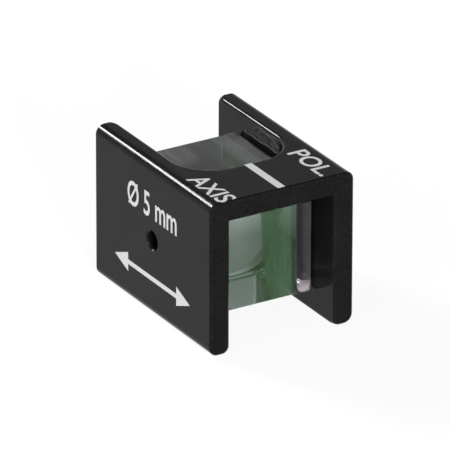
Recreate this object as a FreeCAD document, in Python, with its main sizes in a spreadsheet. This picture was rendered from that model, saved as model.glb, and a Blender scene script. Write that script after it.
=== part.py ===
"""Glan-laser polarizer: two air-spaced calcite prisms bonded into a small black housing.

X runs across the two side plates, Y along the beam (the front face is at -Y) and Z is up,
along the transmission axis. The origin is the centre of the underside. Millimetres.
"""
import FreeCAD, Part
import math
import os
import Sketcher

doc = FreeCAD.newDocument("GlanLaserPolarizer")

# Driving dimensions, each with the alias that the expressions use.
# Angles are in degrees, everything else is in millimetres.
DRIVING_SIZES = (
    ("housing_width", 11.0, "across the outer faces of the side plates"),
    ("housing_height", 11.0, "underside to top face"),
    ("housing_length", 15.0, "along the beam"),
    ("side_wall", 1.5, "thickness of each side plate"),
    ("bridge_wall", 1.5, "thickness of the top and bottom bridges"),
    ("outer_round", 0.65, "radius of the four long outer edges"),
    ("rim_round", 0.25, "radius around the rim of each escape window"),
    ("end_break", 0.1, "broken edge around the two end faces"),
    ("window_overlap", 3.0, "how far each window passes the middle of the housing"),
    ("cutter_radius", 3.0, "corner radius left by the cutter in each window"),
    ("side_hole", 1.3, "diameter of the hole through the marked side plate"),
    ("side_hole_sink", 1.5, "diameter of that hole's countersunk mouth"),
    ("sink_angle", 90.0, "full angle of the countersink"),
    ("crystal_width", 5.6, "prism pair, across the beam"),
    ("crystal_length", 9.5, "prism pair, along the beam"),
    ("crystal_clearance", 0.05, "prism pair to each bridge"),
    ("cut_angle", 50.3, "between the cut plane and the beam"),
    ("air_gap", 0.1, "between the two prisms, square to the cut"),
    ("tip_bevel", 0.2, "ground flat along the sharp edge of each prism"),
    ("edge_bevel", 0.06, "protective bevel on the prism's other edges"),
    ("cement_line", 0.02, "cement between prism and side plate, left open"),
    ("shim_fit", 0.01, "gap shim to each cut face"),
    ("shim_width", 0.4, "gap shim, across the beam"),
    ("shim_inset", 0.6, "gap shim's ends to the prism faces, along the cut"),
    ("plate_round", 0.3, "radius on the outer long edges of each glass side plate"),
    ("bond_line", 0.1, "adhesive between side plate and housing"),
    ("bond_margin", 0.6, "adhesive's edge to the side plate's edge"),
)

sizes = doc.addObject("Spreadsheet::Sheet", "Sizes")
for row, (alias, value, meaning) in enumerate(DRIVING_SIZES, start=1):
    sizes.set(f"A{row}", meaning)
    sizes.set(f"B{row}", str(value))
    sizes.setAlias(f"B{row}", alias)
doc.recompute()

# Rules that more than one piece uses, written as expressions on the sheet
HALF_WIDTH = "Sizes.housing_width / 2"
HALF_LENGTH = "Sizes.housing_length / 2"
HEIGHT = "Sizes.housing_height"
INNER_HALF = "(Sizes.housing_width / 2 - Sizes.side_wall)"
CHANNEL_LOW = "Sizes.bridge_wall"
CHANNEL_HIGH = "(Sizes.housing_height - Sizes.bridge_wall)"
CRYSTAL_HALF = "Sizes.crystal_width / 2"
CRYSTAL_REACH = "Sizes.crystal_length / 2"
CRYSTAL_LOW = "(Sizes.bridge_wall + Sizes.crystal_clearance)"
CRYSTAL_HIGH = "(Sizes.housing_height - Sizes.bridge_wall - Sizes.crystal_clearance)"
CRYSTAL_RISE = f"({CRYSTAL_HIGH} - {CRYSTAL_LOW})"
PLATE_INNER = f"({CRYSTAL_HALF} + Sizes.cement_line)"
CUT_ANGLE = "(Sizes.cut_angle * 1 deg)"
PLATE_THICKNESS = f"{INNER_HALF} - {PLATE_INNER} - Sizes.bond_line"

# A cut that leaves the solid runs on by this much, so that no skin is left
CUT_OVERRUN = 1.0
# Two places closer than this are the same place when edges are picked
SAME_PLACE = 1e-4


def length_of(rule):
    """The rule's present value in millimetres."""
    value = sizes.evalExpression(rule)
    return float(getattr(value, "Value", value))


def new_body(label):
    body = doc.addObject("PartDesign::Body", label)
    body.Label = label
    return body


def new_sketch(body, name, plane_role, offset_rule=None):
    """An empty sketch on one of the body's own origin planes, moved along its normal."""
    plane = [item for item in body.Origin.OriginFeatures if item.Role == plane_role][0]
    sketch = body.newObject("Sketcher::SketchObject", name)
    sketch.AttachmentSupport = [(plane, "")]
    sketch.MapMode = "FlatFace"
    if offset_rule:
        sketch.setExpression("AttachmentOffset.Base.z", offset_rule)
    return sketch


def pin_point(sketch, curve, end, x_rule, y_rule):
    """Tie one end of a curve to its two coordinates."""
    for kind, axis, rule in (("DistanceX", -2, x_rule), ("DistanceY", -1, y_rule)):
        if rule == "0":
            sketch.addConstraint(Sketcher.Constraint("PointOnObject", curve, end, axis))
            continue
        index = sketch.addConstraint(Sketcher.Constraint(kind, -1, 1, curve, end, length_of(rule)))
        sketch.setExpression(f"Constraints[{index}]", rule)


def draw_outline(sketch, corners, arcs=None):
    """A closed outline through corners given as (x rule, y rule).

    arcs names the sides that are round: side number to (radius rule, centre x, centre y).
    """
    arcs = arcs or {}
    points = [FreeCAD.Vector(length_of(x), length_of(y), 0) for x, y in corners]
    for side, start in enumerate(points):
        stop = points[(side + 1) % len(points)]
        if side in arcs:
            radius_rule, centre_x, centre_y = arcs[side]
            centre = FreeCAD.Vector(length_of(centre_x), length_of(centre_y), 0)
            circle = Part.Circle(centre, FreeCAD.Vector(0, 0, 1), length_of(radius_rule))
            first, last = circle.parameter(start), circle.parameter(stop)
            if (last - first) % (2 * math.pi) > math.pi:
                first, last = last, first
            sketch.addGeometry(Part.ArcOfCircle(circle, first, last), False)
        else:
            sketch.addGeometry(Part.LineSegment(start, stop), False)
    ends = []
    for side, start in enumerate(points):
        curve = sketch.Geometry[side]
        starts_here = (curve.StartPoint - start).Length < SAME_PLACE
        ends.append((1, 2) if starts_here else (2, 1))
    for side in range(len(points)):
        following = (side + 1) % len(points)
        sketch.addConstraint(Sketcher.Constraint(
            "Coincident", side, ends[side][1], following, ends[following][0]))
    for side, (x_rule, y_rule) in enumerate(corners):
        pin_point(sketch, side, ends[side][0], x_rule, y_rule)
    for side, (radius_rule, _, _) in arcs.items():
        index = sketch.addConstraint(Sketcher.Constraint("Radius", side, length_of(radius_rule)))
        sketch.setExpression(f"Constraints[{index}]", radius_rule)


def draw_rectangle(sketch, left, right, low, high):
    draw_outline(sketch, ((left, low), (right, low), (right, high), (left, high)))


def pad(body, sketch, name, length_rule, both_ways=False, backwards=False):
    feature = body.newObject("PartDesign::Pad", name)
    feature.Profile = sketch
    feature.setExpression("Length", length_rule)
    if both_ways:
        feature.SideType = "Symmetric"
    feature.Reversed = backwards
    doc.recompute()
    return feature


def pocket(body, sketch, name, length_rule, both_ways=False, backwards=False):
    """Cut the sketch out of the body, and make sure that it took something away."""
    volume_before = body.Shape.Volume
    feature = body.newObject("PartDesign::Pocket", name)
    feature.Profile = sketch
    feature.setExpression("Length", length_rule)
    if both_ways:
        feature.SideType = "Symmetric"
    feature.Reversed = backwards
    doc.recompute()
    if body.Shape.Volume > volume_before - SAME_PLACE:
        raise RuntimeError(f"{name} cut nothing")
    return feature


def edges_where(feature, wanted):
    """Names of the feature's edges whose every sample point passes the test."""
    names = []
    for number, edge in enumerate(feature.Shape.Edges, start=1):
        samples = edge.discretize(5)
        if all(wanted(point) for point in samples):
            names.append(f"Edge{number}")
    if not names:
        raise RuntimeError(f"no edge of {feature.Name} passes the test")
    return names


def dress(body, kind, name, base, edge_names, size_property, size_rule):
    """A PartDesign fillet or chamfer on the named edges of a feature."""
    feature = body.newObject(f"PartDesign::{kind}", name)
    feature.Base = (base, edge_names)
    feature.setExpression(size_property, size_rule)
    doc.recompute()
    return feature


def build_housing():
    body = new_body("housing")

    # The block, with its four long edges rounded
    left, right = f"-{HALF_WIDTH}", HALF_WIDTH
    r = "Sizes.outer_round"
    section = new_sketch(body, "BlockSection", "XZ_Plane")
    draw_outline(section, (
        (f"{left} + {r}", "0"),
        (f"{right} - {r}", "0"),
        (right, r),
        (right, f"{HEIGHT} - {r}"),
        (f"{right} - {r}", HEIGHT),
        (f"{left} + {r}", HEIGHT),
        (left, f"{HEIGHT} - {r}"),
        (left, r),
    ), {
        1: (r, f"{right} - {r}", r),
        3: (r, f"{right} - {r}", f"{HEIGHT} - {r}"),
        5: (r, f"{left} + {r}", f"{HEIGHT} - {r}"),
        7: (r, f"{left} + {r}", r),
    })
    pad(body, section, "Block", "Sizes.housing_length", both_ways=True)

    # The square channel that takes the crystal, from end to end
    channel = new_sketch(body, "ChannelSection", "XZ_Plane")
    draw_rectangle(channel, f"-{INNER_HALF}", INNER_HALF, CHANNEL_LOW, CHANNEL_HIGH)
    pocket(body, channel, "Channel", f"Sizes.housing_length + {CUT_OVERRUN}", both_ways=True)

    # The two escape windows. The bottom one is the top one turned half round about X.
    for name, facing, level in (("TopWindow", 1, HEIGHT), ("BottomWindow", -1, None)):
        near = f"{-facing} * Sizes.window_overlap"
        turn = f"{-facing} * (Sizes.window_overlap - Sizes.cutter_radius)"
        far = f"{facing} * ({HALF_LENGTH} + {CUT_OVERRUN})"
        straight = f"({INNER_HALF} - Sizes.cutter_radius)"
        window = new_sketch(body, name + "Outline", "XY_Plane", level)
        draw_outline(window, (
            (f"-{INNER_HALF}", far),
            (f"-{INNER_HALF}", turn),
            (f"-{straight}", near),
            (straight, near),
            (INNER_HALF, turn),
            (INNER_HALF, far),
        ), {
            1: ("Sizes.cutter_radius", f"-{straight}", turn),
            3: ("Sizes.cutter_radius", straight, turn),
        })
        cut = pocket(body, window, name, "Sizes.bridge_wall", backwards=facing < 0)

    # The cutter's sharp rims round both windows are rounded over
    inner = length_of(INNER_HALF) + SAME_PLACE
    end = length_of(HALF_LENGTH)
    faces = (0.0, length_of(HEIGHT))

    def on_window_face(point):
        on_face = min(abs(point.z - level) for level in faces) < SAME_PLACE
        return on_face and abs(point.x) < inner

    def is_end_edge(point):
        return abs(abs(point.y) - end) < SAME_PLACE

    end_edges = edges_where(cut, is_end_edge)
    rims = [edge for edge in edges_where(cut, on_window_face) if edge not in end_edges]
    rim = dress(body, "Fillet", "WindowRims", cut, rims, "Radius", "Sizes.rim_round")

    # The two end faces have a fine broken edge
    broken = edges_where(rim, is_end_edge)
    dress(body, "Chamfer", "EndBreaks", rim, broken, "Size", "Sizes.end_break")

    # The countersunk hole in the middle of the marked side plate
    hole_centre = new_sketch(body, "SideHoleCentre", "YZ_Plane", f"-{HALF_WIDTH}")
    middle = FreeCAD.Vector(0, length_of(f"{HEIGHT} / 2"), 0)
    hole_radius = length_of("Sizes.side_hole / 2")
    circle = Part.Circle(middle, FreeCAD.Vector(0, 0, 1), hole_radius)
    hole_centre.addGeometry(circle, False)
    index = hole_centre.addConstraint(Sketcher.Constraint("Radius", 0, hole_radius))
    hole_centre.setExpression(f"Constraints[{index}]", "Sizes.side_hole / 2")
    pin_point(hole_centre, 0, 3, "0", f"{HEIGHT} / 2")
    doc.recompute()
    volume_before = body.Shape.Volume
    hole = body.newObject("PartDesign::Hole", "SideHole")
    hole.Profile = hole_centre
    doc.recompute()
    hole.Reversed = True
    hole.DepthType = "Dimension"
    hole.DrillPoint = "Flat"
    hole.HoleCutType = "Countersink"
    hole.setExpression("HoleCutCountersinkAngle", "Sizes.sink_angle")
    hole.setExpression("Diameter", "Sizes.side_hole")
    hole.setExpression("HoleCutDiameter", "Sizes.side_hole_sink")
    hole.setExpression("Depth", "Sizes.side_wall + Sizes.bond_line / 2")
    doc.recompute()
    if body.Shape.Volume > volume_before - SAME_PLACE:
        raise RuntimeError("the side hole cut nothing")
    return body


def build_prism(label, facing):
    """One half of the crystal. facing is -1 for the front prism and 1 for the rear one.

    The cut plane falls from the top front to the bottom rear through the middle of the
    channel. The front prism keeps the full-length bottom face, the rear prism the top one.
    """
    body = new_body(label)
    half_run = f"{CRYSTAL_RISE} / 2 / tan({CUT_ANGLE})"
    half_gap = f"Sizes.air_gap / 2 / sin({CUT_ANGLE})"
    end = f"{facing} * {CRYSTAL_REACH}"
    cut_low = f"{half_run} + {facing} * {half_gap}"
    cut_high = f"-{half_run} + {facing} * {half_gap}"
    section = new_sketch(body, label + "_section", "YZ_Plane")
    draw_outline(section, (
        (end, CRYSTAL_LOW),
        (cut_low, CRYSTAL_LOW),
        (cut_high, CRYSTAL_HIGH),
        (end, CRYSTAL_HIGH),
    ))
    block = pad(body, section, label + "_block", "Sizes.crystal_width", both_ways=True)

    # The sharp edge of the wedge is ground to a narrow flat
    tip_y, tip_z = (cut_low, CRYSTAL_LOW) if facing < 0 else (cut_high, CRYSTAL_HIGH)
    tip = (length_of(tip_y), length_of(tip_z))
    edges = edges_where(block, lambda point: math.dist((point.y, point.z), tip) < SAME_PLACE)
    ground = dress(body, "Chamfer", label + "_tip", block, edges, "Size", "Sizes.tip_bevel")

    # The edges of the end face have a fine bevel against chipping
    face = length_of(end)
    edges = edges_where(ground, lambda point: abs(point.y - face) < SAME_PLACE)
    dress(body, "Chamfer", label + "_bevels", ground, edges, "Size", "Sizes.edge_bevel")
    return body


def build_side_plate(label, side):
    """A glass plate along one flank of both prisms. side is -1 for left, 1 for right."""
    body = new_body(label)
    face = new_sketch(body, label + "_outline", "YZ_Plane", f"{side} * {PLATE_INNER}")
    draw_rectangle(face, f"-{CRYSTAL_REACH}", CRYSTAL_REACH, CRYSTAL_LOW, CRYSTAL_HIGH)
    plate = pad(body, face, label + "_plate", PLATE_THICKNESS, backwards=side < 0)
    outside = length_of(f"{side} * ({INNER_HALF} - Sizes.bond_line)")
    levels = (length_of(CRYSTAL_LOW), length_of(CRYSTAL_HIGH))

    def is_outer_long_edge(point):
        on_level = min(abs(point.z - level) for level in levels) < SAME_PLACE
        return on_level and abs(point.x - outside) < SAME_PLACE

    edges = edges_where(plate, is_outer_long_edge)
    dress(body, "Fillet", label + "_rounds", plate, edges, "Radius", "Sizes.plate_round")
    return body


def build_gap_shim(label, side):
    """A thin strip between the two cut faces, flush with one flank of the crystal."""
    body = new_body(label)
    reach = f"({CRYSTAL_RISE} / 2 / sin({CUT_ANGLE}) - Sizes.shim_inset)"
    half_strip = "(Sizes.air_gap / 2 - Sizes.shim_fit)"
    corners = []
    for along, across in ((-1, -1), (1, -1), (1, 1), (-1, 1)):
        corners.append((
            f"{along} * {reach} * cos({CUT_ANGLE}) + {across} * {half_strip} * sin({CUT_ANGLE})",
            f"{HEIGHT} / 2 - {along} * {reach} * sin({CUT_ANGLE})"
            f" + {across} * {half_strip} * cos({CUT_ANGLE})",
        ))
    inner_side = f"{side} * ({CRYSTAL_HALF} - Sizes.shim_width)"
    strip = new_sketch(body, label + "_section", "YZ_Plane", inner_side)
    draw_outline(strip, corners)
    pad(body, strip, label + "_strip", "Sizes.shim_width", backwards=side < 0)
    return body


def build_bond(label, side):
    """The adhesive film between one side plate and the housing's wall."""
    film = doc.addObject("Part::Box", label)
    film.Label = label
    film.setExpression("Length", "Sizes.bond_line")
    film.setExpression("Width", "Sizes.crystal_length - 2 * Sizes.bond_margin")
    film.setExpression("Height", f"{CRYSTAL_RISE} - 2 * Sizes.bond_margin")
    low_x = f"{INNER_HALF} - Sizes.bond_line" if side > 0 else f"-{INNER_HALF}"
    film.setExpression("Placement.Base.x", low_x)
    film.setExpression("Placement.Base.y", f"-{CRYSTAL_REACH} + Sizes.bond_margin")
    film.setExpression("Placement.Base.z", f"{CRYSTAL_LOW} + Sizes.bond_margin")
    return film


def write_parts(pieces):
    """Check every object of the document, then write one STEP file for each piece."""
    doc.recompute()
    for item in doc.Objects:
        if "Invalid" in item.State or "Error" in item.State:
            raise RuntimeError(f"{item.Name} did not compute")
    os.makedirs("parts", exist_ok=True)
    for piece in pieces:
        shape = piece.Shape
        if shape.isNull() or not shape.isValid():
            raise RuntimeError(f"{piece.Label} has no valid shape")
        shape.exportStep(f"parts/{piece.Label}.step")
        print(f"{piece.Label}: {len(shape.Solids)} solid, {shape.Volume:.3f} mm3")


write_parts((
    build_housing(),
    build_prism("front_prism", -1),
    build_prism("rear_prism", 1),
    build_side_plate("left_side_plate", -1),
    build_side_plate("right_side_plate", 1),
    build_gap_shim("left_gap_shim", -1),
    build_gap_shim("right_gap_shim", 1),
    build_bond("left_bond", -1),
    build_bond("right_bond", 1),
))
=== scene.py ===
# Glan-laser polarizer: the looks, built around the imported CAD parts.
# Everything is in metres, in the CAD frame: X across, Y along the beam, Z up.
import math

import bmesh
import bpy
import numpy as np
from mathutils import Matrix, Vector, geometry


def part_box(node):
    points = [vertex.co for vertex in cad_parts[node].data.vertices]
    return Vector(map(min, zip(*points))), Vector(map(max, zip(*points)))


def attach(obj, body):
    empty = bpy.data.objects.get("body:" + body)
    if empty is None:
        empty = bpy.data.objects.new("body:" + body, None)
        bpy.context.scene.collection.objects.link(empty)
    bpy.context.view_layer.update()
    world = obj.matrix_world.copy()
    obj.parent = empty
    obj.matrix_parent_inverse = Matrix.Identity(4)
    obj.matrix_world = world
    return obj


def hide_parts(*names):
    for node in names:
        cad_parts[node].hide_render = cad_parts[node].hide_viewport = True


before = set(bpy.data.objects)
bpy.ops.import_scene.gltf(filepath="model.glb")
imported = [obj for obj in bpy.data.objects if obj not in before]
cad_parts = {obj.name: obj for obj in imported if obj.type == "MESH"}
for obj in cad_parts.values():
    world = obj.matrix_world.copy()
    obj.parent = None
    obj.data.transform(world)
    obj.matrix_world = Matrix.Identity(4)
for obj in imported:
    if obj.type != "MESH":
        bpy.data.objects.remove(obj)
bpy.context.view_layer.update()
housingLow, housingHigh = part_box("housing")
mm = 0.001
print("stage 1: CAD parts loaded", sorted(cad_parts))


# Small helpers for node trees

def newMaterial(name):
    material = bpy.data.materials.new(name)
    material.use_nodes = True
    return material, material.node_tree, material.node_tree.nodes["Principled BSDF"]


def addNode(tree, kind, **settings):
    node = tree.nodes.new(kind)
    for key, value in settings.items():
        setattr(node, key, value)
    return node


# Put a number, a colour or another node's output into a socket.
def feed(tree, value, socket):
    if isinstance(value, tuple):
        socket.default_value = (*value, 1.0)
    elif isinstance(value, (int, float)):
        socket.default_value = value
    else:
        tree.links.new(value, socket)


def mathNode(tree, operation, first, second=None, clamp=False):
    node = addNode(tree, "ShaderNodeMath", operation=operation, use_clamp=clamp)
    feed(tree, first, node.inputs[0])
    if second is not None:
        feed(tree, second, node.inputs[1])
    return node.outputs[0]


def mixColour(tree, factor, first, second):
    node = addNode(tree, "ShaderNodeMix", data_type="RGBA")
    for place, value in ((0, factor), (6, first), (7, second)):
        feed(tree, value, node.inputs[place])
    return node.outputs[2]


def mapRange(tree, value, low, high, toLow=0.0, toHigh=1.0):
    node = addNode(tree, "ShaderNodeMapRange")
    tree.links.new(value, node.inputs[0])
    for place, number in enumerate((low, high, toLow, toHigh), start=1):
        node.inputs[place].default_value = number
    return node.outputs[0]


def objectPlace(tree):
    return addNode(tree, "ShaderNodeTexCoord").outputs["Object"]


def heightOf(tree, place):
    parts = addNode(tree, "ShaderNodeSeparateXYZ")
    tree.links.new(place, parts.inputs[0])
    return parts.outputs["Z"]


def addBump(tree, shader, height, depth):
    bump = addNode(tree, "ShaderNodeBump")
    bump.inputs["Distance"].default_value = depth
    tree.links.new(height, bump.inputs["Height"])
    tree.links.new(bump.outputs["Normal"], shader.inputs["Normal"])


# Limits on how far a surface faces along an axis. The crystal's cut and its bevels both
# lean between Y and Z, and only the bevels lean evenly.
squareFrom = 0.9
tiltedFrom = 0.3
leaningFrom = 0.45
evenWithin = 0.05


# How far the surface faces along X, Y and Z, each 0 to 1 and the same from both sides.
def facingParts(tree):
    facing = addNode(tree, "ShaderNodeSeparateXYZ")
    tree.links.new(addNode(tree, "ShaderNodeNewGeometry").outputs["True Normal"], facing.inputs[0])
    return tuple(mathNode(tree, "ABSOLUTE", facing.outputs[axis]) for axis in "XYZ")


# 1 on the level faces above the given height, the same from both sides.
def upperMask(tree, place, level, above):
    return mathNode(tree, "MULTIPLY", mathNode(tree, "GREATER_THAN", level, squareFrom),
                    mathNode(tree, "GREATER_THAN", heightOf(tree, place), above))


# A shader node group with named sockets, given as (name, kind, default).
def newGroup(name, inputs, outputs):
    group = bpy.data.node_groups.new(name, "ShaderNodeTree")
    for label, kind, default in inputs:
        socket = group.interface.new_socket(label, in_out="INPUT", socket_type=kind)
        socket.default_value = default
    for label, kind in outputs:
        group.interface.new_socket(label, in_out="OUTPUT", socket_type=kind)
    return group, group.nodes.new("NodeGroupInput"), group.nodes.new("NodeGroupOutput")


def placeGroup(tree, group, vector=None, values=()):
    node = addNode(tree, "ShaderNodeGroup", node_tree=group)
    for key, value in dict(values).items():
        node.inputs[key].default_value = value
    if vector is not None:
        tree.links.new(vector, node.inputs["Vector"])
    return node


# Effects that more than one material uses

grainNoise = {
    "Grain": {"scale": 9000.0, "detail": 3.0, "rough": 0.65},
    "Drift": {"scale": 320.0, "detail": 4.0, "rough": 0.55},
}
grainSpan = (0.3, 0.7)

veilNoise = {
    "detail": 3.0,
    "cloudScale": 210.0,
    "cloudSpan": (0.35, 0.7),
    "streakDetailScale": 1.3,
    "streakPower": 5.0,
}


# Fine blasted grain with slow tone drift, both 0 to 1, from two noises on Object coordinates.
def buildGrainGroup():
    sockets = [(name + " Scale", "NodeSocketFloat", noise["scale"])
               for name, noise in grainNoise.items()]
    group, inlet, outlet = newGroup(
        "fineGrain", [("Vector", "NodeSocketVector", (0.0, 0.0, 0.0)), *sockets],
        [(name, "NodeSocketFloat") for name in grainNoise])
    for name, looks in grainNoise.items():
        noise = addNode(group, "ShaderNodeTexNoise")
        noise.inputs["Detail"].default_value = looks["detail"]
        noise.inputs["Roughness"].default_value = looks["rough"]
        group.links.new(inlet.outputs["Vector"], noise.inputs["Vector"])
        group.links.new(inlet.outputs[name + " Scale"], noise.inputs["Scale"])
        group.links.new(mapRange(group, noise.outputs["Fac"], *grainSpan), outlet.inputs[name])
    return group


# A mask that is 1 where the surface turns within a small radius, 0 on flats.
def buildEdgeGroup():
    group, inlet, outlet = newGroup("edgeMask", (
        ("Radius", "NodeSocketFloat", 0.0001),
        ("Spread", "NodeSocketFloat", 0.12),
    ), (("Mask", "NodeSocketFloat"),))
    rounded = addNode(group, "ShaderNodeBevel", samples=4)
    surface = addNode(group, "ShaderNodeNewGeometry")
    dot = addNode(group, "ShaderNodeVectorMath", operation="DOT_PRODUCT")
    group.links.new(inlet.outputs["Radius"], rounded.inputs["Radius"])
    group.links.new(rounded.outputs["Normal"], dot.inputs[0])
    group.links.new(surface.outputs["Normal"], dot.inputs[1])
    turned = mathNode(group, "SUBTRACT", 1.0, dot.outputs["Value"])
    scaled = mathNode(group, "DIVIDE", turned, inlet.outputs["Spread"], clamp=True)
    group.links.new(scaled, outlet.inputs["Mask"])
    return group


# Soft curved streaks and cloudy patches, 0 to 1, as polishing haze leaves on glass.
def buildVeilGroup():
    group, inlet, outlet = newGroup("polishVeil", (
        ("Vector", "NodeSocketVector", (0.0, 0.0, 0.0)),
        ("Streak Scale", "NodeSocketFloat", 260.0),
        ("Twist", "NodeSocketFloat", 3.0),
    ), (("Veil", "NodeSocketFloat"), ("Cloud", "NodeSocketFloat")))
    cloud = addNode(group, "ShaderNodeTexNoise")
    cloud.inputs["Scale"].default_value = veilNoise["cloudScale"]
    cloud.inputs["Detail"].default_value = veilNoise["detail"]
    streak = addNode(group, "ShaderNodeTexWave", wave_profile="SIN")
    streak.inputs["Detail"].default_value = veilNoise["detail"]
    streak.inputs["Detail Scale"].default_value = veilNoise["streakDetailScale"]
    group.links.new(inlet.outputs["Vector"], cloud.inputs["Vector"])
    group.links.new(inlet.outputs["Vector"], streak.inputs["Vector"])
    group.links.new(inlet.outputs["Streak Scale"], streak.inputs["Scale"])
    group.links.new(inlet.outputs["Twist"], streak.inputs["Distortion"])
    thin = mathNode(group, "POWER", streak.outputs["Fac"], veilNoise["streakPower"])
    soft = mapRange(group, cloud.outputs["Fac"], *veilNoise["cloudSpan"])
    group.links.new(mathNode(group, "MULTIPLY", thin, soft), outlet.inputs["Veil"])
    group.links.new(soft, outlet.inputs["Cloud"])
    return group


fineGrain = buildGrainGroup()
edgeMask = buildEdgeGroup()
polishVeil = buildVeilGroup()
print("stage 2: shader groups built")


# The housing: satin black anodised aluminium over a fine machined surface

housingLooks = {
    "dye": (0.0014, 0.0014, 0.0014),
    "dyeWorn": (0.0042, 0.0042, 0.0042),
    "speck": (0.0105, 0.0105, 0.0105),
    # lighter edges: wear, and a painted highlight along them
    "edgeWearAndHighlight": (0.02, 0.02, 0.02),
    "edgeRadius": 0.12 * mm,
    "speckPower": 3.0,
    "sheenLevel": 0.09,
    "rough": (0.14, 0.23),
    "grainDepth": 0.0005 * mm,
}


def anodisedMaterial(looks):
    material, tree, shader = newMaterial("anodisedBlack")
    grain = placeGroup(tree, fineGrain, objectPlace(tree))
    edge = placeGroup(tree, edgeMask, values={"Radius": looks["edgeRadius"]})
    tone = mixColour(tree, grain.outputs["Drift"], looks["dye"], looks["dyeWorn"])
    specks = mathNode(tree, "POWER", grain.outputs["Grain"], looks["speckPower"])
    tone = mixColour(tree, specks, tone, looks["speck"])
    # edges lighter as wear and as a painted highlight along them
    wornEdgeAndHighlight = mathNode(tree, "MULTIPLY", edge.outputs["Mask"], grain.outputs["Grain"])
    feed(tree, mixColour(tree, wornEdgeAndHighlight, tone, looks["edgeWearAndHighlight"]), shader.inputs["Base Color"])
    feed(tree, mapRange(tree, grain.outputs["Grain"], 0, 1, *looks["rough"]),
         shader.inputs["Roughness"])
    addBump(tree, shader, grain.outputs["Grain"], looks["grainDepth"])
    shader.inputs["Specular IOR Level"].default_value = looks["sheenLevel"]
    return material


# The crystal: clear calcite with green-coated end faces. A glint tints what a face
# reflects, and gapPass is the share of light that each cut face lets through.

crystalLooks = {
    "ior": 1.6,
    "clear": (0.93, 0.93, 0.93),
    "coated": (0.60, 0.69, 0.70),
    "plainGlint": (1.0, 1.0, 1.0),
    "coatedGlint": (0.45, 1.0, 0.38),
    "gapPass": (0.5, 0.5, 0.5),
    "bevel": (0.10, 0.14, 0.105),
    "bevelGlint": (0.16, 0.26, 0.16),
    # painted shade: a dark tone on the crystal's top face, with paler smudge streaks
    "upperShade": (0.14, 0.115, 0.135),
    "upperStreak": (0.36, 0.34, 0.355),
    "upperFrom": 5.5 * mm,
    "upperRough": 0.16,
    "cutRough": 0.1,
    "polishRough": (0.0, 0.06),
}


def crystalMaterial(looks):
    material, tree, shader = newMaterial("coatedCalcite")
    place = objectPlace(tree)
    across, lengthways, level = facingParts(tree)
    endFace = mathNode(tree, "GREATER_THAN", lengthways, squareFrom)
    leaning = mathNode(tree, "GREATER_THAN",
                       mathNode(tree, "MULTIPLY", lengthways, level), leaningFrom)
    evenly = mathNode(tree, "LESS_THAN", mathNode(
        tree, "ABSOLUTE", mathNode(tree, "SUBTRACT", lengthways, level)), evenWithin)
    cutFace = mathNode(tree, "SUBTRACT", leaning, evenly, clamp=True)
    sideBevel = mathNode(tree, "MULTIPLY", mathNode(tree, "GREATER_THAN", across, tiltedFrom),
                         mathNode(tree, "LESS_THAN", across, squareFrom))
    bevel = mathNode(tree, "MAXIMUM", sideBevel, mathNode(tree, "MULTIPLY", leaning, evenly))
    upperFace = upperMask(tree, place, level, looks["upperFrom"])
    veil = placeGroup(tree, polishVeil, place)
    # the top face darkened as painted shade, with paler smudge streaks
    upperShadeAndSmudge = mixColour(tree, veil.outputs["Veil"], looks["upperShade"], looks["upperStreak"])
    tone = mixColour(tree, endFace, looks["clear"], looks["coated"])
    tone = mixColour(tree, upperFace, tone, upperShadeAndSmudge)
    tone = mixColour(tree, cutFace, tone, looks["gapPass"])
    feed(tree, mixColour(tree, bevel, tone, looks["bevel"]), shader.inputs["Base Color"])
    glint = mixColour(tree, endFace, looks["plainGlint"], looks["coatedGlint"])
    feed(tree, mixColour(tree, bevel, glint, looks["bevelGlint"]), shader.inputs["Specular Tint"])
    polish = mapRange(tree, veil.outputs["Veil"], 0, 1, *looks["polishRough"])
    hazy = mathNode(tree, "MAXIMUM", mathNode(tree, "MULTIPLY", cutFace, looks["cutRough"]),
                    mathNode(tree, "MULTIPLY", upperFace, looks["upperRough"]))
    feed(tree, mathNode(tree, "MAXIMUM", polish, hazy), shader.inputs["Roughness"])
    shader.inputs["IOR"].default_value = looks["ior"]
    shader.inputs["Transmission Weight"].default_value = 1.0
    return material


# The glass plates beside the crystal

plateLooks = {
    "ior": 1.52,
    "tone": (0.86, 0.83, 0.84),
    "haze": (0.62, 0.60, 0.61),
    "bevel": (0.10, 0.095, 0.10),
    "glint": (1.0, 1.0, 1.0),
    "bevelGlint": (0.12, 0.115, 0.12),
    "topGlint": (0.12, 0.12, 0.12),
    "topFrom": 5.5 * mm,
    "twist": 6.0,
    "streakScale": 420.0,
    "rough": (0.06, 0.25),
}


def plateMaterial(looks):
    material, tree, shader = newMaterial("sideGlass")
    place = objectPlace(tree)
    veil = placeGroup(tree, polishVeil, place,
                      {"Twist": looks["twist"], "Streak Scale": looks["streakScale"]})
    across, lengthways, level = facingParts(tree)
    squarest = mathNode(tree, "MAXIMUM", mathNode(tree, "MAXIMUM", across, lengthways), level)
    bevel = mathNode(tree, "LESS_THAN", squarest, squareFrom)
    tone = mixColour(tree, veil.outputs["Cloud"], looks["tone"], looks["haze"])
    feed(tree, mixColour(tree, bevel, tone, looks["bevel"]), shader.inputs["Base Color"])
    # a bright top would throw the rear lamp's light onto the dark wall beside it
    glint = mixColour(tree, upperMask(tree, place, level, looks["topFrom"]),
                      looks["glint"], looks["topGlint"])
    feed(tree, mixColour(tree, bevel, glint, looks["bevelGlint"]), shader.inputs["Specular Tint"])
    feed(tree, mapRange(tree, veil.outputs["Veil"], 0, 1, *looks["rough"]),
         shader.inputs["Roughness"])
    shader.inputs["IOR"].default_value = looks["ior"]
    shader.inputs["Transmission Weight"].default_value = 1.0
    return material


# The spacer film in the air gap and the cured adhesive behind the plates

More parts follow.
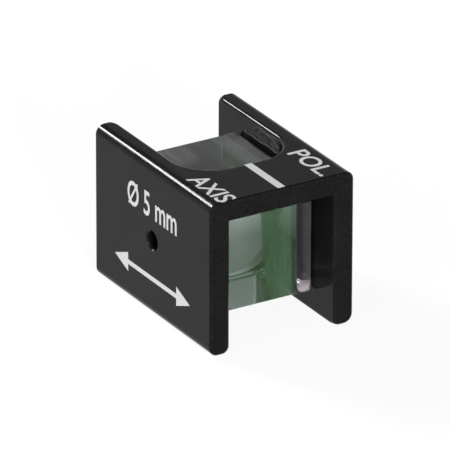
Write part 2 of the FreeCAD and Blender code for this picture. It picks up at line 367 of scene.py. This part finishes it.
fillerLooks = {
    "film": {"tone": (0.34, 0.32, 0.29), "dark": (0.22, 0.21, 0.19), "rough": 0.5,
             "depth": 0.002 * mm},
    "adhesive": {"tone": (0.016, 0.016, 0.016), "dark": (0.006, 0.006, 0.006), "rough": 0.6,
                 "depth": 0.001 * mm},
    "grainScale": 5000.0,
    "sheenLevel": 0.06,
}


def fillerMaterial(name, looks):
    material, tree, shader = newMaterial(name)
    grain = placeGroup(tree, fineGrain, objectPlace(tree),
                       {"Grain Scale": fillerLooks["grainScale"]})
    feed(tree, mixColour(tree, grain.outputs["Drift"], looks["tone"], looks["dark"]),
         shader.inputs["Base Color"])
    addBump(tree, shader, grain.outputs["Grain"], looks["depth"])
    shader.inputs["Roughness"].default_value = looks["rough"]
    shader.inputs["Specular IOR Level"].default_value = fillerLooks["sheenLevel"]
    return material


nodeMaterials = {
    "housing": anodisedMaterial(housingLooks),
    "front_prism": crystalMaterial(crystalLooks),
    "left_side_plate": plateMaterial(plateLooks),
    "left_gap_shim": fillerMaterial("spacerFilm", fillerLooks["film"]),
    "left_bond": fillerMaterial("curedAdhesive", fillerLooks["adhesive"]),
}
for twin, source in (("rear_prism", "front_prism"), ("right_side_plate", "left_side_plate"),
                     ("right_gap_shim", "left_gap_shim"), ("right_bond", "left_bond")):
    nodeMaterials[twin] = nodeMaterials[source]
for node, material in nodeMaterials.items():
    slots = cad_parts[node].data.materials
    slots.clear()
    slots.append(material)
print("stage 3: materials on the CAD parts")


# The housing again, with its window rims rounded further towards the open ends

rimLooks = {
    "radius": 0.25 * mm,  # as on the CAD part
    "endRadius": 0.6 * mm,
    "opening": 4.0 * mm,
    "starts": 6.8 * mm,
    "ends": 7.5 * mm,
    "lastRing": 7.39 * mm,
    "rings": 9,
    "wallBlend": 1.2 * mm,
    "faceBlend": 0.85 * mm,
    "chamfer": 0.11 * mm,
    "merge": 0.0001 * mm,
    "cutSlack": 0.00001 * mm,
    "slack": 0.0005 * mm,
    "sharpFrom": 35.0,  # degrees
}


def meshPoints(mesh):
    points = np.empty(len(mesh.vertices) * 3)
    mesh.vertices.foreach_get("co", points)
    return points.reshape(-1, 3)


# Each rim point turns about its fillet's centre. With s in from the wall, h in from the
# face and v = (R - s, R - h), it goes to (R', R') - v/|v| * (|v| + R' - R), where R' grows
# from R to the end radius by the square along Y. Flat points next to it slide along.
def roundRimEnds(looks):
    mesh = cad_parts["housing"].data.copy()
    work = bmesh.new()
    work.from_mesh(mesh)
    bmesh.ops.remove_doubles(work, verts=work.verts, dist=looks["merge"])
    for level in np.linspace(looks["starts"], looks["lastRing"], looks["rings"]):
        for end in (-1, 1):
            bmesh.ops.bisect_plane(work, geom=work.verts[:] + work.edges[:] + work.faces[:],
                                   dist=looks["cutSlack"], plane_co=(0, end * level, 0),
                                   plane_no=(0, 1, 0))
    work.to_mesh(mesh)
    work.free()
    if "custom_normal" in mesh.attributes:
        mesh.attributes.remove(mesh.attributes["custom_normal"])
    points = meshPoints(mesh)
    x, y, z = points.T
    slack = looks["slack"]
    inward = np.abs(x) - looks["opening"]
    deep = np.where(y > 0, housingHigh.z - z, z - housingLow.z)
    along = np.clip((np.abs(y) - looks["starts"]) / (looks["ends"] - looks["starts"]), 0, 1)
    radius = looks["radius"]
    grown = radius + (looks["endRadius"] - radius) * along ** 2
    near = (np.abs(y) > looks["starts"] - slack) & (inward > -slack) & (deep > -slack)
    rim = near & (inward < radius + slack) & (deep < radius + slack)
    wall = near & ~rim & (inward < looks["chamfer"]) & (deep < looks["wallBlend"])
    face = near & ~rim & (deep < looks["chamfer"]) & (inward < looks["faceBlend"])
    toCentre = np.stack((radius - inward, radius - deep))
    span = np.maximum(np.hypot(*toCentre), 1e-12)
    turned = grown - toCentre / span * (span + grown - radius)
    slide = {}
    for key, value in (("wallBlend", deep), ("faceBlend", inward)):
        slide[key] = grown + (value - radius) * (looks[key] - grown) / (looks[key] - radius)
    inward = np.where(rim, turned[0], np.where(face, slide["faceBlend"], inward))
    deep = np.where(rim, turned[1], np.where(wall, slide["wallBlend"], deep))
    moved = rim | wall | face
    points[:, 0] = np.where(moved, np.sign(x) * (looks["opening"] + inward), x)
    points[:, 2] = np.where(
        moved, np.where(y > 0, housingHigh.z - deep, housingLow.z + deep), z)
    mesh.vertices.foreach_set("co", points.ravel())
    mesh.shade_smooth()
    mesh.set_sharp_from_angle(angle=math.radians(looks["sharpFrom"]))
    piece = bpy.data.objects.new("housingRoundedEnds", mesh)
    bpy.context.scene.collection.objects.link(piece)
    weighted = piece.modifiers.new("flatFaces", "WEIGHTED_NORMAL")
    weighted.keep_sharp = True
    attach(piece, "root")
    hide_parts("housing")
    print("stage 3b: rim points rounded", int(rim.sum()), "slid", int((wall | face).sum()))
    return piece


roundRimEnds(rimLooks)


# The ground skins, with painted light and shade on them: the crystal's flanks, the plates' outer
# faces and the plates' ends.
# streak is a second tone in soft stretched streaks, and the paler tone that grows from the first
# level to the second, in Z, is painted light, up the flanks and down to the plates' feet; fade is
# where a piece ends and begins in Z.

groundAndPaintedLightLooks = {
    "rough": 0.6,
    "sheenLevel": 0.1,
    "twist": 4.0,
    "streakScale": 300.0,
    "driftScale": 900.0,
    "depth": 0.004 * mm,
    "thickness": 0.006 * mm,
    # painted light: the paler tone towards the flanks' tops and the plate backs' feet
    "flank": {"tone": (0.15, 0.26, 0.14), "streak": (0.36, 0.56, 0.37), "stretch": (1, 1, 0.35),
              "paintedLightTone": (0.80, 1.0, 0.80), "levels": (5.3 * mm, 7.7 * mm)},
    "back": {"tone": (0.39, 0.40, 0.43), "streak": (0.68, 0.66, 0.69), "stretch": (1, 1, 0.12),
             "paintedLightTone": (0.95, 0.90, 0.92), "levels": (2.6 * mm, 1.9 * mm)},
    # painted light: the plate's lower end pale over its ground finish
    "foot": {"tone": (0.74, 0.69, 0.71)},
    # painted shade: the plate's upper end dark over its ground finish
    "head": {"tone": (0.085, 0.084, 0.086), "streak": (0.15, 0.148, 0.15),
             "stretch": (1, 0.3, 1)},
    # painted light: the pale glow at a plate's foot corner
    "corner": {"tone": (0.90, 0.84, 0.86), "fade": (2.5 * mm, 1.85 * mm)},
    # painted highlight: a pale line on the crystal's ground rear bevel
    "edge": {"tone": (0.80, 0.80, 0.80)},
    "reachSlack": 0.001 * mm,
    "cornerMargin": 0.05 * mm,
    "cornerHeight": 0.75 * mm,
    "cornerRound": 0.42 * mm,
    "cornerSteps": 9,
    "edgeWidth": 0.045 * mm,
    "edgeInset": 0.075 * mm,
    "edgeMargin": 0.1 * mm,
}


def groundAndPaintedLightMaterial(name, looks):
    material, tree, shader = newMaterial(name)
    tone = looks["tone"]
    if "streak" in looks:
        mapping = addNode(tree, "ShaderNodeMapping")
        mapping.inputs["Scale"].default_value = looks["stretch"]
        tree.links.new(objectPlace(tree), mapping.inputs["Vector"])
        veil = placeGroup(tree, polishVeil, mapping.outputs[0],
                          {"Twist": groundAndPaintedLightLooks["twist"],
                           "Streak Scale": groundAndPaintedLightLooks["streakScale"]})
        grain = placeGroup(tree, fineGrain, mapping.outputs[0],
                           {"Drift Scale": groundAndPaintedLightLooks["driftScale"]})
        streaked = mathNode(tree, "MULTIPLY", grain.outputs["Drift"], veil.outputs["Cloud"])
        tone = mixColour(tree, streaked, tone, looks["streak"])
    # the paler tone up or down the piece, in Z, is painted light
    if "paintedLightTone" in looks:
        paintedLightShare = mapRange(tree, heightOf(tree, objectPlace(tree)), *looks["levels"])
        tone = mixColour(tree, paintedLightShare, tone, looks["paintedLightTone"])
    feed(tree, tone, shader.inputs["Base Color"])
    if "fade" in looks:
        feed(tree, mapRange(tree, heightOf(tree, objectPlace(tree)), *looks["fade"]),
             shader.inputs["Alpha"])
    shader.inputs["Roughness"].default_value = groundAndPaintedLightLooks["rough"]
    shader.inputs["Specular IOR Level"].default_value = groundAndPaintedLightLooks["sheenLevel"]
    return material


# A flat outline in the other two axes at two places along one axis, with walls between.
def addSlab(name, flat, axis, places, material):
    others = [other for other in range(3) if other != axis]
    count = len(flat)
    layers = np.empty((2, count, 3))
    layers[:, :, others] = flat
    layers[:, :, axis] = np.array(places)[:, None]
    around = np.arange(count)
    following = (around + 1) % count
    walls = np.stack((around, following, following + count, around + count), axis=1)
    slab = bpy.data.meshes.new(name)
    slab.from_pydata(layers.reshape(-1, 3).tolist(), [],
                     walls.tolist() + [around[::-1].tolist(), (around + count).tolist()])
    outwards = bmesh.new()
    outwards.from_mesh(slab)
    bmesh.ops.recalc_face_normals(outwards, faces=outwards.faces)
    outwards.to_mesh(slab)
    outwards.free()
    slab.materials.append(material)
    piece = bpy.data.objects.new(name, slab)
    bpy.context.scene.collection.objects.link(piece)
    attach(piece, "root")
    return piece


# The skin's outline is the hull of the node's own points on that side of it.
def addSkin(name, node, axis, side, material):
    points = meshPoints(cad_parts[node].data)
    others = [other for other in range(3) if other != axis]
    reach = (points[:, axis] * side).max()
    flat = points[points[:, axis] * side > reach - groundAndPaintedLightLooks["reachSlack"]][:, others]
    flat = flat[np.array(geometry.convex_hull_2d([tuple(point) for point in flat]))]
    outer = reach - groundAndPaintedLightLooks["depth"]
    return addSlab(name, flat, axis, (side * (outer - groundAndPaintedLightLooks["thickness"]), side * outer),
                   material)


# A pale patch of painted light just behind a plate's front face, for its lit foot corner: a strip
# with a round lower end, made of two quarter circles and closed by its straight top.
def addGlowCorner(name, node, material):
    least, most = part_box(node)
    radius = groundAndPaintedLightLooks["cornerRound"]
    margin = groundAndPaintedLightLooks["cornerMargin"]
    turn = np.linspace(0, math.pi / 2, groundAndPaintedLightLooks["cornerSteps"])
    sine, cosine = radius * np.sin(turn), radius * np.cos(turn)
    foot = least.z + margin + radius
    crown = foot + groundAndPaintedLightLooks["cornerHeight"]
    right = np.stack((most.x - margin - radius + sine, foot - cosine), axis=1)
    left = np.stack((least.x + margin + radius - cosine, foot - sine), axis=1)
    top = np.array([(most.x - margin, crown), (least.x + margin, crown)])
    outer = least.y + groundAndPaintedLightLooks["depth"]
    return addSlab(name, np.vstack((right, top, left)), 1,
                   (outer + groundAndPaintedLightLooks["thickness"], outer), material)


# The ground bevel down a rear corner of the crystal, as a thin square strip just inside it, pale as
# a painted highlight line.
def addBevelHighlight(name, side, material):
    least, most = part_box("rear_prism")
    half = groundAndPaintedLightLooks["edgeWidth"] / 2
    inset = groundAndPaintedLightLooks["edgeInset"]
    middle = np.array((side * (most.x - inset), most.y - inset))
    square = np.array([(-1, -1), (1, -1), (1, 1), (-1, 1)]) * half
    margin = groundAndPaintedLightLooks["edgeMargin"]
    return addSlab(name, middle + square, 2, (least.z + margin, most.z - margin),
                   material)


groundAndPaintedLight = {part: groundAndPaintedLightMaterial("groundAndPaintedLight" + part.capitalize(), groundAndPaintedLightLooks[part])
          for part in ("flank", "back", "foot", "head", "corner", "edge")}
for sideName, side in (("left", -1), ("right", 1)):
    addSkin(sideName + "FrontFlank", "front_prism", 0, side, groundAndPaintedLight["flank"])
    addSkin(sideName + "RearFlank", "rear_prism", 0, side, groundAndPaintedLight["flank"])
    plate = sideName + "_side_plate"
    addSkin(sideName + "PlateBack", plate, 0, side, groundAndPaintedLight["back"])
    addSkin(sideName + "PlateLitFoot", plate, 2, -1, groundAndPaintedLight["foot"])
    addSkin(sideName + "PlateShadedHead", plate, 2, 1, groundAndPaintedLight["head"])
    addGlowCorner(sideName + "PlateGlowCorner", plate, groundAndPaintedLight["corner"])
    addBevelHighlight(sideName + "RearBevelHighlight", side, groundAndPaintedLight["edge"])
print("stage 4: ground skins under the glass faces")


# White marks, filled flush with the black faces

markLooks = {
    "paint": (0.52, 0.52, 0.52),
    "paintThin": (0.32, 0.32, 0.32),
    "sink": 0.02 * mm,
    "proud": 0.004 * mm,
    "stroke": 0.018,
    "wear": 0.45,
    "grainScale": 14000.0,
    "grainDepth": 0.002 * mm,
    "rough": 0.6,
    "sheenLevel": 0.25,
    "capitalShare": 0.729,  # of the font's size
    "curveSteps": 6,
    "headShare": 1.25,  # an arrow head's length over its height
}


def markMaterial(looks):
    material, tree, shader = newMaterial("whiteMark")
    grain = placeGroup(tree, fineGrain, objectPlace(tree), {"Grain Scale": looks["grainScale"]})
    worn = mathNode(tree, "MULTIPLY", grain.outputs["Grain"], looks["wear"])
    feed(tree, mixColour(tree, worn, looks["paint"], looks["paintThin"]),
         shader.inputs["Base Color"])
    addBump(tree, shader, grain.outputs["Grain"], looks["grainDepth"])
    shader.inputs["Roughness"].default_value = looks["rough"]
    shader.inputs["Specular IOR Level"].default_value = looks["sheenLevel"]
    return material


whiteMark = markMaterial(markLooks)


# The turn that lays a flat drawing on a face, from its reading and upward directions.
def faceTurn(along, upwards):
    along, upwards = Vector(along), Vector(upwards)
    turn = Matrix((along, upwards, along.cross(upwards))).transposed()
    return turn.to_4x4()


# Give the flat curve its thickness, make it a mesh, and put its place into the mesh.
def settleMark(name, curve, turn, origin):
    half = (markLooks["sink"] + markLooks["proud"]) / 2
    curve.extrude = half
    drawing = bpy.data.objects.new(name + "Curve", curve)
    bpy.context.scene.collection.objects.link(drawing)
    bpy.context.view_layer.update()
    settled = drawing.evaluated_get(bpy.context.evaluated_depsgraph_get())
    mesh = bpy.data.meshes.new_from_object(settled)
    bpy.data.objects.remove(drawing)
    outward = turn.to_3x3() @ Vector((0, 0, markLooks["proud"] - half))
    mesh.transform(Matrix.Translation(Vector(origin) + outward) @ turn)
    mesh.materials.clear()
    mesh.materials.append(whiteMark)
    piece = bpy.data.objects.new(name, mesh)
    bpy.context.scene.collection.objects.link(piece)
    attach(piece, "root")
    return piece


# Plain sans letters of the given capital height, stretched to a length, centred on middle.
def addWords(name, words, height, turn, middle, length):
    curve = bpy.data.curves.new(name, "FONT")
    curve.body = words
    curve.size = height / markLooks["capitalShare"]
    curve.offset = markLooks["stroke"] * height
    curve.resolution_u = markLooks["curveSteps"]
    piece = settleMark(name, curve, Matrix.Identity(4), (0, 0, 0))
    points = meshPoints(piece.data)
    start, end = points[:, 0].min(), points[:, 0].max()
    points[:, 0] = (points[:, 0] - (start + end) / 2) * length / (end - start)
    points[:, 1] -= height / 2
    piece.data.vertices.foreach_set("co", points.ravel())
    piece.data.transform(Matrix.Translation(Vector(middle)) @ turn)
    return piece


# A flat closed outline of (along, up) points, laid on a face.
def addShape(name, outline, turn, middle):
    curve = bpy.data.curves.new(name, "CURVE")
    curve.dimensions = "2D"
    curve.fill_mode = "BOTH"
    spline = curve.splines.new("POLY")
    spline.points.add(len(outline) - 1)
    flat = np.zeros((len(outline), 4))
    flat[:, :2] = outline
    flat[:, 3] = 1
    spline.points.foreach_set("co", flat.ravel())
    spline.use_cyclic_u = True
    return settleMark(name, curve, turn, middle)


marks = {
    "barWidth": 0.56 * mm,
    "barFront": -7.4 * mm,
    "barRear": -3.08 * mm,
    "legendHeight": 1.45 * mm,
    "legendLength": 4.3 * mm,
    "leftLegendMiddle": (-4.03 * mm, -5.3 * mm),
    "rightLegendMiddle": (3.82 * mm, -5.1 * mm),
    "sizeHeight": 1.8 * mm,
    "sizeLength": 6.4 * mm,
    "sizeLevel": 8.0 * mm,
    "arrowLength": 9.8 * mm,
    "arrowHeight": 1.4 * mm,
    "arrowStroke": 0.34 * mm,
    "arrowLevel": 2.72 * mm,
}

onTop = faceTurn((0, -1, 0), (1, 0, 0))
onLeft = faceTurn((0, -1, 0), (0, 0, 1))

barLength = marks["barRear"] - marks["barFront"]
barOutline = np.array([(-1, -1), (1, -1), (1, 1), (-1, 1)]) * (barLength / 2, marks["barWidth"] / 2)
barMiddle = (marks["barRear"] + marks["barFront"]) / 2
addShape("axisBar", barOutline, onTop, (0, barMiddle, housingHigh.z))
addWords("axisLegend", "AXIS", marks["legendHeight"], onTop,
         (*marks["leftLegendMiddle"], housingHigh.z), marks["legendLength"])
addWords("planeLegend", "POL.", marks["legendHeight"], onTop,
         (*marks["rightLegendMiddle"], housingHigh.z), marks["legendLength"])
addWords("apertureSize", "Ø 5 mm", marks["sizeHeight"], onLeft,
         (housingLow.x, 0, marks["sizeLevel"]), marks["sizeLength"])


# The five corners of one arrow head, then the same turned half round for the other.
def doubleArrow(length, height, stroke):
    head = height * markLooks["headShare"]
    neck = length / 2 - head
    half = np.array([(neck, -stroke / 2), (neck, -height / 2), (length / 2, 0),
                     (neck, height / 2), (neck, stroke / 2)])
    return np.vstack((half, -half))


addShape("beamArrow", doubleArrow(marks["arrowLength"], marks["arrowHeight"], marks["arrowStroke"]),
         onLeft, (housingLow.x, 0, marks["arrowLevel"]))
print("stage 5: marks laid on the housing")


# Floor, world, lamps and camera

studio = {
    "floorSize": 4.0,
    "floorGap": 0.01 * mm,
    "floorTone": (0.86, 0.86, 0.86),
    "floorRough": 0.9,
    "shadowShare": 0.1,
    "shadowShareInGlass": 0.95,
    "ambient": 0.28,
    "zenith": 0.3,
    "whiteUpTo": 0.05,
    "zenithFrom": 0.5,
    "lamps": {
        "rearLeft": {"from": (-0.325, 0.783, 0.53), "distance": 0.4, "size": 0.08, "power": 1.6},
        "frontLeft": {"from": (-0.80, -0.35, 0.49), "distance": 0.45, "size": 0.2, "power": 0.6},
        "front": {"from": (-0.277, -0.907, 0.317), "distance": 0.5, "size": 0.06, "power": 2.4},
    },
}


# 1 for camera, glossy and transmission rays, which see the white background.
def seenDirectly(tree):
    path = addNode(tree, "ShaderNodeLightPath")
    seen = mathNode(tree, "MAXIMUM", path.outputs["Is Camera Ray"], path.outputs["Is Glossy Ray"])
    return mathNode(tree, "MAXIMUM", seen, path.outputs["Is Transmission Ray"])


def buildFloor():
    half = studio["floorSize"] / 2
    mesh = bpy.data.meshes.new("floor")
    mesh.from_pydata([(-half, -half, 0), (half, -half, 0), (half, half, 0), (-half, half, 0)],
                     [], [(0, 1, 2, 3)])
    mesh.transform(Matrix.Translation((0, 0, housingLow.z - studio["floorGap"])))
    floor = bpy.data.objects.new("floor", mesh)
    bpy.context.scene.collection.objects.link(floor)
    material, tree, shader = newMaterial("paleFloor")
    feed(tree, studio["floorTone"], shader.inputs["Base Color"])
    shader.inputs["Roughness"].default_value = studio["floorRough"]
    shader.inputs["Specular IOR Level"].default_value = 0.0
    white = addNode(tree, "ShaderNodeEmission")
    mixer = addNode(tree, "ShaderNodeMixShader")
    path = addNode(tree, "ShaderNodeLightPath")
    # refracted rays count as glossy too, so they are taken off
    mirrored = mathNode(tree, "SUBTRACT", path.outputs["Is Glossy Ray"],
                        path.outputs["Is Transmission Ray"], clamp=True)
    straight = mathNode(tree, "MAXIMUM", path.outputs["Is Camera Ray"], mirrored)
    share = mathNode(tree, "MAXIMUM",
                     mathNode(tree, "MULTIPLY", straight, 1 - studio["shadowShare"]),
                     mathNode(tree, "MULTIPLY", path.outputs["Is Transmission Ray"],
                              1 - studio["shadowShareInGlass"]))
    tree.links.new(share, mixer.inputs[0])
    tree.links.new(shader.outputs[0], mixer.inputs[1])
    tree.links.new(white.outputs[0], mixer.inputs[2])
    tree.links.new(mixer.outputs[0], tree.nodes["Material Output"].inputs["Surface"])
    mesh.materials.append(material)


def buildWorld():
    world = bpy.data.worlds.new("studio")
    bpy.context.scene.world = world
    world.use_nodes = True
    tree = world.node_tree
    direction = addNode(tree, "ShaderNodeTexCoord").outputs["Generated"]
    white = mapRange(tree, heightOf(tree, direction), studio["whiteUpTo"],
                     studio["zenithFrom"], 1.0, studio["zenith"])
    mixer = addNode(tree, "ShaderNodeMix", data_type="FLOAT")
    tree.links.new(seenDirectly(tree), mixer.inputs[0])
    mixer.inputs[2].default_value = studio["ambient"]
    tree.links.new(white, mixer.inputs[3])
    tree.links.new(mixer.outputs[0], tree.nodes["Background"].inputs["Strength"])
    tree.nodes["Background"].inputs["Color"].default_value = (1, 1, 1, 1)


def addLamp(name, lamp):
    data = bpy.data.lights.new(name, "AREA")
    data.size = lamp["size"]
    data.energy = lamp["power"]
    direction = Vector(lamp["from"]).normalized()
    obj = bpy.data.objects.new(name, data)
    obj.location = direction * lamp["distance"]
    obj.rotation_euler = direction.to_track_quat("Z", "Y").to_euler()
    bpy.context.scene.collection.objects.link(obj)


# Angles, distance and lens come from a fit to the photograph's outline.
def addCamera():
    view = {"azimuth": -30.789, "elevation": 24.647, "roll": 0.1225,
            "distance": 546.84 * mm, "focalPixels": 8239.5, "centre": (223.61, 223.03),
            "pixels": 449, "sensor": 36.0, "clip": (0.01, 20.0)}
    turn, rise, roll = (math.radians(view[key]) for key in ("azimuth", "elevation", "roll"))
    back = Vector((math.sin(turn) * math.cos(rise), -math.cos(turn) * math.cos(rise),
                   math.sin(rise)))
    right = Vector((math.cos(turn), math.sin(turn), 0))
    upward = back.cross(right)
    rolledRight = right * math.cos(roll) + upward * math.sin(roll)
    rolledUp = upward * math.cos(roll) - right * math.sin(roll)
    data = bpy.data.cameras.new("photoView")
    data.sensor_width = view["sensor"]
    data.lens = view["focalPixels"] / view["pixels"] * data.sensor_width
    data.shift_x = (view["pixels"] / 2 - view["centre"][0]) / view["pixels"]
    data.shift_y = (view["centre"][1] - view["pixels"] / 2) / view["pixels"]
    data.clip_start, data.clip_end = view["clip"]
    obj = bpy.data.objects.new("photoView", data)
    target = Vector((0, 0, (housingLow.z + housingHigh.z) / 2))
    pose = Matrix((rolledRight, rolledUp, back)).transposed().to_4x4()
    obj.matrix_world = Matrix.Translation(target + back * view["distance"]) @ pose
    bpy.context.scene.collection.objects.link(obj)
    bpy.context.scene.camera = obj


buildFloor()
buildWorld()
for lampName, lamp in studio["lamps"].items():
    addLamp(lampName, lamp)
addCamera()
bpy.context.scene.view_settings.view_transform = "Standard"
print("stage 6: floor, light and camera set")
